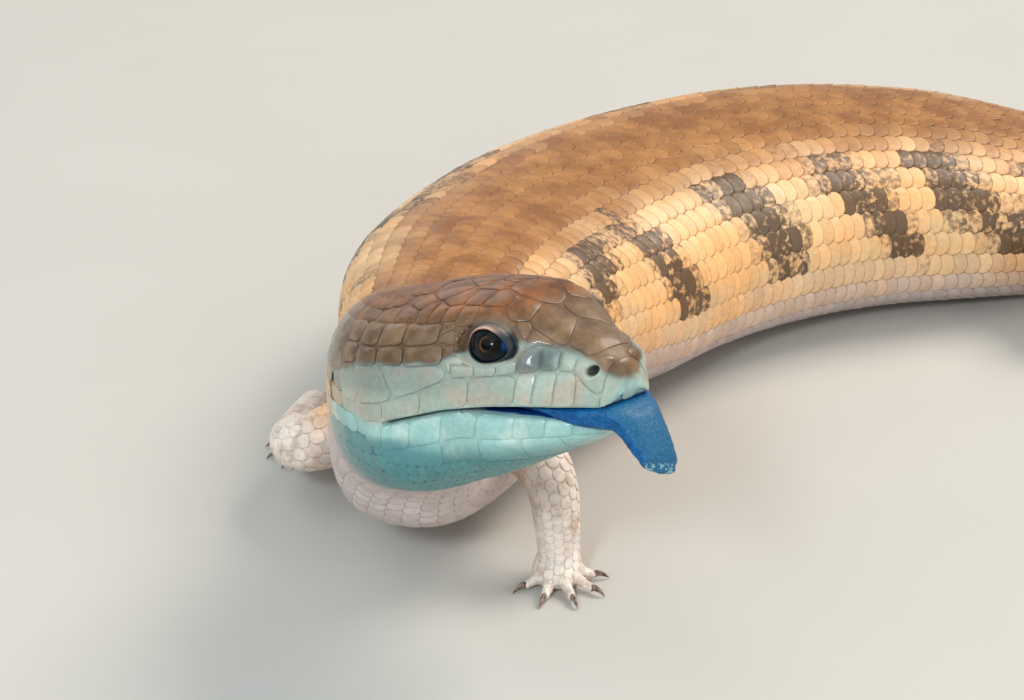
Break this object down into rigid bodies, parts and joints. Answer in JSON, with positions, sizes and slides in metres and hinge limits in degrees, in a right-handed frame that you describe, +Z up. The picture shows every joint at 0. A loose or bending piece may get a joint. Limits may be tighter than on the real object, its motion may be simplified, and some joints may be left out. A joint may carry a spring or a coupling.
{
  "type": "blue-tongued skink model",
  "caption": "Life-size still model of a stout skink lying on its belly, head raised and turned, mouth parted with a broad tongue out.",
  "frame": {"origin": "on the flat under the front of the belly, straight below the spine, on the floor the animal lies on", "axes": "+Z up, square to the floor; +X level, towards the tail, along the longest side of the box; +Y level, to complete a right-handed frame, away from the side the head turns to"},
  "size_m": [0.4286, 0.2748, 0.0832],
  "materials": {
    "body_skin": "smooth overlapping scales, tan with dark flank bands, satin",
    "head_skin": "large smooth head shields, brown above and pale below, satin",
    "limb_skin": "small smooth scales, pale cream, satin",
    "tongue": "moist blue, finely papillate",
    "eye": "wet clear gloss over a dark brown iris and round black pupil",
    "claw": "smooth horn"
  },
  "bodies": {
    "root": {"head": "head_skin", "lower_jaw": "head_skin", "tongue": "tongue", "eye_left": "eye", "eye_right": "eye", "neck": "body_skin", "trunk_front": "body_skin", "trunk_middle": "body_skin", "trunk_rear": "body_skin", "tail_base": "body_skin", "tail_middle": "body_skin", "tail_end": "body_skin", "left_fore_upper": "limb_skin", "left_fore_lower": "limb_skin", "left_fore_foot": "limb_skin", "left_fore_claw_1": "claw", "left_fore_claw_2": "claw", "left_fore_claw_3": "claw", "left_fore_claw_4": "claw", "left_fore_claw_5": "claw", "right_fore_upper": "limb_skin", "right_fore_lower": "limb_skin", "right_fore_foot": "limb_skin", "right_fore_claw_1": "claw", "right_fore_claw_2": "claw", "right_fore_claw_3": "claw", "right_fore_claw_4": "claw", "right_fore_claw_5": "claw", "left_hind_upper": "limb_skin", "left_hind_lower": "limb_skin", "left_hind_foot": "limb_skin", "left_hind_claw_1": "claw", "left_hind_claw_2": "claw", "left_hind_claw_3": "claw", "left_hind_claw_4": "claw", "left_hind_claw_5": "claw", "right_hind_upper": "limb_skin", "right_hind_lower": "limb_skin", "right_hind_foot": "limb_skin", "right_hind_claw_1": "claw", "right_hind_claw_2": "claw", "right_hind_claw_3": "claw", "right_hind_claw_4": "claw", "right_hind_claw_5": "claw"}
  },
  "joints": []
}
